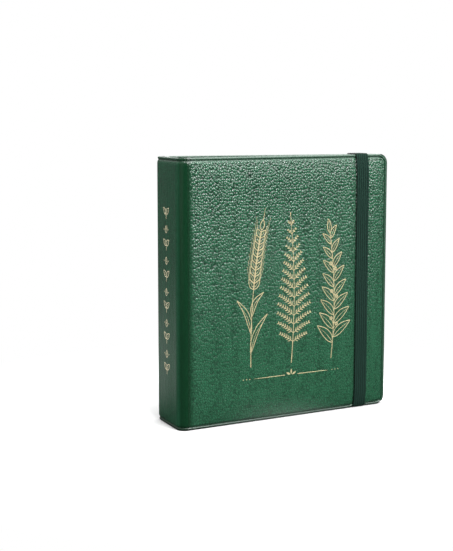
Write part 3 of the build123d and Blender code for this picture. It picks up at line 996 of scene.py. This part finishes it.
def berryTwig():
    line, thin, stem = foil["line"], foil["thin"], twig["stem"]
    strokes = [stemStroke(stem)]
    for k in range(twig["pairs"]):
        share = twig["start"] + twig["step"] * k
        x, y, angle = stemPoint(stem, share)
        size = twig["leaf"] - twig["taper"] * k
        for sign in (1, -1):
            if sign < 0:
                x, y, angle = stemPoint(stem, share + twig["step"] * twig["shift"])
            lean = angle + sign * math.radians(twig["lean"] - twig["leanStep"] * k)
            bow = -sign * size * twig["bow"]
            strokes += petal(x, y, lean, size, size * twig["width"], line, bow=bow)
            strokes.append(vein(x, y, lean, size * twig["vein"], thin, bow=bow * twig["veinBow"]))
            if k % 2 == 0 or k == twig["pairs"] - 1:
                continue
            side = angle - sign * math.radians(twig["berryLean"])
            stalk = twig["stalk"] - twig["stalkTaper"] * k
            strokes.append(vein(x, y, side, stalk, thin))
            dx, dy = turned(stalk, 0, side)
            for half in (1.0, 0.5):
                strokes.append(ringStroke(x + dx, y + dy, twig["berry"] * half, thin * twig["berryWeight"]))
    x, y, angle = stemPoint(stem, 1.0)
    strokes += petal(x, y, angle, twig["tip"], twig["tipWidth"], line)
    strokes.append(vein(x, y, angle, twig["tipVein"], thin))
    return strokes


rule = {
    "x": 148, "z": 52, "line": (9, 30, 52), "lineEnd": 0.12, "leafX": 1.2, "leafLean": 0.5,
    "leaf": (6.2, 2.5), "dots": 3, "dotX": 58, "dotPitch": 4.4, "dot": 1.3, "budZ": 52.4, "bud": (6.4, 2.5),
}


def ruleOrnament():
    x, z, line = rule["x"], rule["z"], foil["line"]
    near, middle, far = rule["line"]
    strokes = []
    for sign in (1, -1):
        thinning = (x + sign * far, z, rule["lineEnd"])
        strokes.append([(x + sign * near, z, line), (x + sign * middle, z, line), thinning])
        lean = math.pi / 2 - sign * math.pi / 2 + sign * rule["leafLean"]
        strokes.append(seedShape(x + sign * rule["leafX"], z, lean, *rule["leaf"]))
        for k in range(rule["dots"]):
            dotX = x + sign * (rule["dotX"] + rule["dotPitch"] * k)
            strokes.append(seedShape(dotX, z, 0, rule["dot"], rule["dot"]))
    strokes.append(seedShape(x, rule["budZ"], math.pi / 2, *rule["bud"]))
    return strokes


def onFront(x, y, up):
    return coverPoint(x, y, fieldRise(x, y) + up)


for name, strokes in (
    ("goldWheatEar", wheatEar()), ("goldFernFrond", fernFrond()), ("goldBerryTwig", berryTwig()),
    ("goldRule", ruleOrnament()),
):
    piece = drawStrokes(name, strokes, onFront)
    dress(piece, goldMaterial, "leather")
    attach(piece, "front_cover")

spineFoil = {
    "low": 66.0, "high": 246.0, "count": 11, "leaf": 10.5, "leafWidth": 5.0, "leafLean": 52, "leafVein": 0.7,
    "stem": 6.0, "stemBow": 0.6, "seed": 8.4, "seedWidth": 5.4, "kernel": 4.0, "kernelWidth": 1.5,
    "kernelDrop": 1.8, "dot": 1.6, "dotPlace": 6.6,
}


def spineColumn():
    line, dot = foil["line"], spineFoil["dot"]
    strokes = []
    pitch = (spineFoil["high"] - spineFoil["low"]) / (spineFoil["count"] - 1)
    for k in range(spineFoil["count"]):
        z = spineFoil["low"] + pitch * k
        if k % 2 == 0:  # a seedling with two leaves
            stem = spineFoil["stem"]
            strokes.append([(0, z - stem, line), (spineFoil["stemBow"], z - stem / 2, line), (0, z, line)])
            for sign in (1, -1):
                lean = math.pi / 2 - sign * math.radians(spineFoil["leafLean"])
                strokes += petal(0, z, lean, spineFoil["leaf"], spineFoil["leafWidth"], line)
                strokes.append(vein(0, z, lean, spineFoil["leaf"] * spineFoil["leafVein"], foil["thin"]))
        else:  # a grain between two dots
            seedLow, kernelLow = z - spineFoil["seed"] / 2, z - spineFoil["kernelDrop"]
            strokes += petal(0, seedLow, math.pi / 2, spineFoil["seed"], spineFoil["seedWidth"], line)
            kernel, kernelWidth = spineFoil["kernel"], spineFoil["kernelWidth"]
            strokes.append(seedShape(0, kernelLow, math.pi / 2, kernel, kernelWidth))
            for sign in (1, -1):
                strokes.append(seedShape(sign * spineFoil["dotPlace"] - dot / 2, z, 0, dot, dot))
    return strokes


def onSpine(x, y, up):
    return spinePoint(x, y, spineBulge(x, y) + up)


piece = drawStrokes("goldSpineColumn", spineColumn(), onSpine)
dress(piece, spineGold, "leather")
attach(piece, "spine")
print("gold foil is pressed on")

# Elastic band
band = {
    "width": 18.0, "thickness": 1.2, "lift": 0.06, "ribs": 6, "ribDepth": 0.26, "columns": 36, "reach": 18.2,
    "selvedgeDrop": 0.45, "selvedgePower": 14, "innerEdge": 0.12, "innerFlat": 0.5, "bendRadius": 1.5,
    "bendRows": 4, "low": 1.35, "above": 0.3, "margin": 1.0, "rows": 110, "shortTurn": 0.8,
    "edgeLevel": -0.46, "edgeSlope": 0.145, "edgeReach": 9, "wrapStart": 1.6, "wrapRows": 14,
}


def bandSection():  # across and out, once round the woven strap
    half = band["width"] / 2
    outer = []
    for k in range(band["columns"] + 1):
        across = -half + band["width"] * k / band["columns"]
        wave = math.cos(2 * math.pi * band["ribs"] * (across / band["width"] + 0.5))
        drop = band["selvedgeDrop"] * (abs(across) / half) ** band["selvedgePower"]
        outer.append((across, band["thickness"] - band["ribDepth"] * (0.5 + 0.5 * wave) - drop))
    edge, flat = band["innerEdge"], band["innerFlat"]
    inner = [(half - edge, edge), (half - flat, 0.0), (0.0, 0.0), (-half + flat, 0.0), (-half + edge, edge)]
    return outer + inner


def strap(name, stations):  # stations: point, outward direction, across direction
    section = bandSection()

    def place(column, row):
        point, out, across = stations[row]
        right, rise = section[column % len(section)]
        return point + across * right * mm + out * rise * mm

    piece = gridPiece(name, len(section), len(stations) - 1, place)
    activate(piece)
    bpy.ops.object.mode_set(mode="EDIT")
    bpy.ops.mesh.select_all(action="SELECT")
    bpy.ops.mesh.remove_doubles(threshold=0.00001)
    bpy.ops.mesh.select_all(action="DESELECT")
    bpy.ops.mesh.select_non_manifold()
    bpy.ops.mesh.fill_holes(sides=0)
    bpy.ops.mesh.select_all(action="SELECT")
    bpy.ops.mesh.normals_make_consistent(inside=False)
    bpy.ops.object.mode_set(mode="OBJECT")
    shadeSmooth(piece, 50)
    dress(piece, elasticBand, "elastic")
    return piece


alongCover = Vector((math.cos(tilt), math.sin(tilt), 0))
outOfCover = Vector((math.sin(tilt), -math.cos(tilt), 0))
upward = Vector((0, 0, 1))


def bandRise(z):
    fromEnd = min(z, height - z)
    edge = band["edgeLevel"] + band["edgeSlope"] * fromEnd
    field = fieldRise(bandCentre, z)
    return max(field, edge) if fromEnd < band["edgeReach"] else field


bend, margin = band["bendRadius"], band["margin"]
lowZ, highZ = band["low"], height + band["above"]
lowTurn, highTurn = [], []
for k in range(band["bendRows"] + 1):  # the band bends round both ends of the cover
    angle = math.pi / 2 * k / band["bendRows"]
    rise = -bend + bend * math.cos(angle) + band["edgeLevel"]
    ahead, aside = outOfCover * math.cos(angle), upward * math.sin(angle)
    lowTurn.insert(0, (lowZ + bend * (1 - math.sin(angle)), rise, ahead - aside))
    highTurn.append((highZ - bend + bend * math.sin(angle), rise, ahead + aside))
straightRun = highZ - lowZ - 2 * bend - 2 * margin
straightZ = [lowZ + bend + margin + straightRun * k / band["rows"] for k in range(band["rows"] + 1)]
runStations = lowTurn + [(z, bandRise(z) + band["lift"], outOfCover) for z in straightZ] + highTurn
firstZ, firstRise, firstOut = runStations[0]
lastZ, lastRise, lastOut = runStations[-1]
runStations.insert(0, (firstZ, firstRise - band["shortTurn"], firstOut))
runStations.append((lastZ, lastRise - band["shortTurn"], lastOut))
bandRun = strap("elasticBandRun", [
    (coverPoint(bandCentre, z, rise), out, alongCover) for z, rise, out in runStations
])
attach(bandRun, "elastic_band")
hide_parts("elastic_band")

for label, level, sign in (("Top", highZ, 1), ("Bottom", lowZ, -1)):
    stations = []
    for k in range(band["wrapRows"] + 1):
        deep = -band["wrapStart"] - (band["reach"] - band["wrapStart"]) * k / band["wrapRows"]
        stations.append((coverPoint(bandCentre, level, deep), upward * sign, alongCover * sign))
    wrap = strap("elasticBand" + label, stations)
    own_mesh(wrap)
    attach(wrap, "back_cover")
print("elastic band is stretched over")

# Seed packets: the printed frame, boxes and ornament, drawn once and copied to each packet
packetLook = {
    "width": 79.0, "height": 118.0, "line": 0.32, "thin": 0.16, "pages": 3, "flatten": 0.6, "cornerPull": 0.3,
    "frames": ((4.0, 0.48), (6.0, 0.16)), "frameBend": 1.5, "box": (8.5, 33.0, 32.0), "boxBend": 4.0,
    "fields": 4, "fieldSide": 11.5, "fieldTop": 36.0, "fieldPitch": 9.4, "fieldTall": 6.6, "fieldBend": 3.2,
    "sprayLevel": 18.5, "sprayTop": 17.0, "sprayMiddle": 14, "sprayEnd": 29, "leaves": 6,
    "leafStart": 4.5, "leafPitch": 4.2, "leafWave": 1.1, "leafTurn": 1.3, "leafLean": 0.9, "leaf": 5.6,
    "leafTaper": 0.35, "leafWidth": 1.9,
    "ribbon": (
        ((3, 19, 1.6), (14, 23.5, 1.9), (25, 17.5, 1.2)), ((25, 17.5, 1.2), (21, 14.5, 1.4), (27, 11.5, 0.8)),
    ),
    "flower": 19, "petals": 7, "petalStart": 1.2, "petal": (6.4, 3.8), "heart": 2.2,
    "tail": ((0, 13), (1.0, 10.5), (0, 8)),
}


def flatPlace(x, y, up):
    return Vector((x * mm, -up * packetLook["flatten"] * mm, y * mm))


def boxLine(x0, z0, x1, z1, turn, half):  # a closed rounded frame as four bent strokes
    strokes = []
    pull = packetLook["cornerPull"]
    midX, midZ = (x0 + x1) / 2, (z0 + z1) / 2
    for sx, sz in ((1, 1), (1, -1), (-1, -1), (-1, 1)):
        ex = x1 if sx > 0 else x0
        ez = z1 if sz > 0 else z0
        strokes.append([
            (midX, ez, half), (ex - sx * turn, ez, half), (ex - sx * turn * pull, ez, half),
            (ex, ez - sz * turn * pull, half), (ex, ez - sz * turn, half), (ex, midZ, half),
        ])
    return strokes


def packetPrint():
    look = packetLook
    line, thin = look["line"], look["thin"]
    w, h = look["width"] / 2, look["height"] / 2
    strokes = []
    for inset, half in look["frames"]:
        strokes += boxLine(-w + inset, -h + inset, w - inset, h - inset, look["frameBend"], half)
    side, low, top = look["box"]
    strokes += boxLine(-w + side, -h + low, w - side, h - top, look["boxBend"], thin)
    for k in range(look["fields"]):  # round-ended fields to write in
        side, top = look["fieldSide"], h - look["fieldTop"] - look["fieldPitch"] * k
        strokes += boxLine(-w + side, top - look["fieldTall"], w - side, top, look["fieldBend"], thin * 1.1)
    level = h - look["sprayLevel"]
    for sign in (1, -1):  # a spray of leaves across the top
        for k in range(look["leaves"]):
            x = sign * (look["leafStart"] + look["leafPitch"] * k)
            z = level + look["leafWave"] * math.sin(k * look["leafTurn"])
            size = look["leaf"] - look["leafTaper"] * k
            strokes.append(seedShape(x, z, math.pi / 2 - sign * look["leafLean"], size, look["leafWidth"]))
            strokes.append(seedShape(x, z, -math.pi / 2 + sign * look["leafLean"], size, look["leafWidth"]))
        spray = [(0, level, 1.5), (sign * look["sprayMiddle"], h - look["sprayTop"], 1.5)]
        spray.append((sign * look["sprayEnd"], level, 1))
        strokes.append([(x, z, thin * weight) for x, z, weight in spray])
        for folded in look["ribbon"]:
            strokes.append([(sign * x, -h + z, line * weight) for x, z, weight in folded])
    flowerZ, start = -h + look["flower"], look["petalStart"]
    for k in range(look["petals"]):  # a round flower between the ribbons
        angle = 2 * math.pi * k / look["petals"] + math.pi / 2
        x, z = start * math.cos(angle), flowerZ + start * math.sin(angle)
        strokes += petal(x, z, angle, *look["petal"], thin * 1.2)
    strokes.append(seedShape(-look["heart"] / 2, flowerZ, 0, look["heart"], look["heart"]))
    strokes.append([(x, -h + z, thin * 1.4) for x, z in look["tail"]])
    return strokes


printSheet = drawStrokes("packetPrint", packetPrint(), flatPlace)
for page in range(packetLook["pages"]):
    for packet in ("lower_inner", "lower_outer", "upper_inner", "upper_outer"):
        node = f"seed_packet_{page + 1}_{packet}"
        nearCorner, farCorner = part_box(node)
        centre = (nearCorner + farCorner) / 2
        body = f"packet_{page + 1}_{packet}" if packet.startswith("upper") else f"page_{page + 1}"
        place = Matrix.Translation((centre.x, nearCorner.y, centre.z))
        printed = copyMany(printSheet, [place], node + "Print")
        dress(printed, printMaterial, "kraft")
        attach(printed, body)
removePiece(printSheet)
print("packets are printed")

# Pocket pages: the pressed welds between the pockets, and the ticks down the binding strip
weld = {"line": 0.9, "fine": 0.35, "film": 0.25, "strip": 21.6, "pocket": 94.0, "gap": 10.0, "low": 2.4,
        "middle": 149.0, "inset": 3.0, "tick": 3.6, "tickPitch": 6.0, "tickPlace": 15.5, "lead": 1.4,
        "twin": 1.7, "stripTwin": 3.4, "foreLead": 1}


def straight(x0, z0, x1, z1, half):
    return [(x0, z0, half), ((x0 + x1) / 2, (z0 + z1) / 2, half), (x1, z1, half)]


def weldStrokes(width, tall):
    line, fine, inset, strip = weld["line"], weld["fine"], weld["inset"], weld["strip"]
    middlePlace = strip + weld["lead"] + weld["pocket"] + weld["gap"] / 2
    strokes = []
    for x in (strip, middlePlace, width - inset - weld["foreLead"]):
        strokes.append(straight(x, inset, x, tall - inset, line))
    for x in (strip - weld["stripTwin"], middlePlace):
        strokes.append(straight(x + weld["twin"], inset, x + weld["twin"], tall - inset, fine))
    for z in (weld["low"], weld["middle"] + weld["low"]):
        strokes.append(straight(weld["strip"], z, width - inset, z, line))
    strokes.append(straight(weld["strip"], tall - inset, width - inset, tall - inset, fine))
    ticks = int((tall - 4 * inset) / weld["tickPitch"])
    for k in range(ticks + 1):
        z = 2 * inset + (tall - 4 * inset) * k / ticks
        strokes.append(straight(weld["tickPlace"], z, weld["tickPlace"] + weld["tick"], z, fine))
    return strokes


pageLow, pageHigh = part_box("pocket_page_1")
pageSize = (pageHigh - pageLow) / mm
weldSheet = drawStrokes("weldSheet", weldStrokes(pageSize.x, pageSize.z), flatPlace)
for page in range(packetLook["pages"]):
    nearCorner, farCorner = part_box(f"pocket_page_{page + 1}")
    place = Matrix.Translation((nearCorner.x, farCorner.y - weld["film"] * mm, nearCorner.z))
    welded = copyMany(weldSheet, [place], f"pocketPageWelds{page + 1}")
    dress(welded, weldedFilm, "film")
    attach(welded, f"page_{page + 1}")
removePiece(weldSheet)
print("pages are welded")

# Camera, floor and light
view = {"lens": 82.01, "sensor": 36, "reach": 20, "place": (-0.6600, -1.3293, 0.3591), "turn": 23.994,
        "pitch": 7.363}
lens = bpy.data.cameras.new("camera")
lens.lens = view["lens"]
lens.sensor_width = view["sensor"]
lens.clip_end = view["reach"]
camera = linked("camera", lens)
camera.location = view["place"]
camera.rotation_euler = (math.radians(90 - view["pitch"]), 0, math.radians(-view["turn"]))
bpy.context.scene.camera = camera

floorLook = {
    "size": 30.0, "level": -0.0002, "color": (0.55, 0.55, 0.55), "rough": 0.9, "shine": 0.2, "glow": 0.78,
    "fade": (0.17, 0.50), "dim": 0.07, "behind": (0.74, 0.22), "behindFrom": (0.35, 1.6), "backward": 0.25,
    "mirrorEnd": 0.10, "contact": 0.10, "contactPower": 1.6,
}
deselectAll()
bpy.ops.mesh.primitive_plane_add(size=floorLook["size"], location=(0, 0, floorLook["level"]))
floor = bpy.context.active_object
floor.name = "floor"
floorMaterial, tree, shader = startMaterial("paleFloor")
shader.inputs["Base Color"].default_value = floorLook["color"] + (1,)
shader.inputs["Roughness"].default_value = floorLook["rough"]
shader.inputs["Specular IOR Level"].default_value = floorLook["shine"]
rays = addNode(tree, "ShaderNodeLightPath").outputs
floorPlace = addNode(tree, "ShaderNodeTexCoord").outputs["Object"]
reach = addNode(tree, "ShaderNodeVectorMath", {0: floorPlace}, operation="LENGTH").outputs["Value"]
far = rangeOf(tree, reach, *floorLook["fade"], 0.0, 1.0)
white = addNode(tree, "ShaderNodeEmission", {"Strength": 1.0})
contact = {"Distance": floorLook["contact"]}
# painted contact shadow: ambient occlusion darkens the floor's glow round the case
contact = addNode(tree, "ShaderNodeAmbientOcclusion", contact, samples=8).outputs["AO"]
shaded = mathOf(tree, "POWER", contact, floorLook["contactPower"])  # darker where the case stands
lit = mathOf(tree, "MULTIPLY", shaded, floorLook["glow"])
glow = addNode(tree, "ShaderNodeEmission", {"Strength": mathOf(tree, "MULTIPLY", rays["Is Camera Ray"], lit)})
near = addNode(tree, "ShaderNodeAddShader", {0: shader.outputs[0], 1: glow.outputs[0]})
seen = mathOf(tree, "MAXIMUM", rays["Is Camera Ray"], rays["Is Transmission Ray"])
seenFar = mathOf(tree, "MULTIPLY", far, seen)
shownFloor = addNode(tree, "ShaderNodeMixShader", {0: seenFar, 1: near.outputs[0], 2: white.outputs[0]})
backward = addNode(tree, "ShaderNodeSeparateXYZ", {0: floorPlace}).outputs[1]
behind = rangeOf(tree, reach, *floorLook["behindFrom"], *floorLook["behind"])
shown = rangeOf(tree, backward, 0.0, floorLook["backward"], floorLook["dim"], behind)
dimmed = addNode(tree, "ShaderNodeEmission", {"Strength": shown})
mirrored = rangeOf(tree, reach, 0.0, floorLook["mirrorEnd"], 0.0, 1.0)
mirroredFar = mathOf(tree, "MULTIPLY", mirrored, rays["Is Glossy Ray"])
mixed = {0: mirroredFar, 1: shownFloor.outputs[0], 2: dimmed.outputs[0]}
shownFloor = addNode(tree, "ShaderNodeMixShader", mixed)
tree.links.new(shownFloor.outputs[0], tree.nodes["Material Output"].inputs[0])
floor.data.materials.append(floorMaterial)

studio = {
    "light": 0.22, "dim": 0.05, "behind": 0.26, "facing": (-0.55, 0.25), "away": (0.44, 0.89, 0.35),
    "ceiling": 2.8, "ceilingRange": (0.16, 0.52), "aim": (0, 0, 0.15),
}
world = bpy.data.worlds.new("studio")
bpy.context.scene.world = world
world.use_nodes = True
tree = world.node_tree
rays = addNode(tree, "ShaderNodeLightPath").outputs
heading = addNode(tree, "ShaderNodeTexCoord").outputs["Generated"]
facing = {0: heading, 1: Vector(studio["away"]).normalized()}
facing = addNode(tree, "ShaderNodeVectorMath", facing, operation="DOT_PRODUCT").outputs["Value"]
reflected = rangeOf(tree, facing, *studio["facing"], studio["dim"], studio["behind"])
skyward = addNode(tree, "ShaderNodeSeparateXYZ", {0: heading}).outputs[2]
ceiling = rangeOf(tree, skyward, *studio["ceilingRange"], 0.0, studio["ceiling"])
reflected = mathOf(tree, "ADD", reflected, ceiling)
strength = rangeOf(tree, rays["Is Glossy Ray"], 0.0, 1.0, studio["light"], reflected, smooth=False)
seen = mathOf(tree, "MAXIMUM", rays["Is Camera Ray"], rays["Is Transmission Ray"])
strength = rangeOf(tree, seen, 0.0, 1.0, strength, 1.0, smooth=False)
tree.nodes["Background"].inputs[0].default_value = (1, 1, 1, 1)
tree.links.new(strength, tree.nodes["Background"].inputs[1])

lamps = [  # name, place, size, power
    ("key", (1.1, -1.5, 1.1), 0.70, 14.0),
    ("fill", (-1.25, -1.15, 0.35), 1.5, 7.0),
    ("top", (0.1, -1.28, 1.95), 1.00, 80.0),
    ("left", (-1.5, 0.5, 0.8), 1.0, 5.0),
    ("back", (0.7, 1.5, 1.1), 1.2, 11.0),
]
for label, place, size, power in lamps:
    lamp = bpy.data.lights.new(label, "AREA")
    lamp.shape = "SQUARE"
    lamp.size = size
    lamp.energy = power
    holder = linked(label, lamp)
    holder.location = place
    holder.rotation_euler = (Vector(studio["aim"]) - Vector(place)).to_track_quat("-Z", "Y").to_euler()
bpy.context.scene.view_settings.view_transform = "Standard"
print("camera and lights are set")
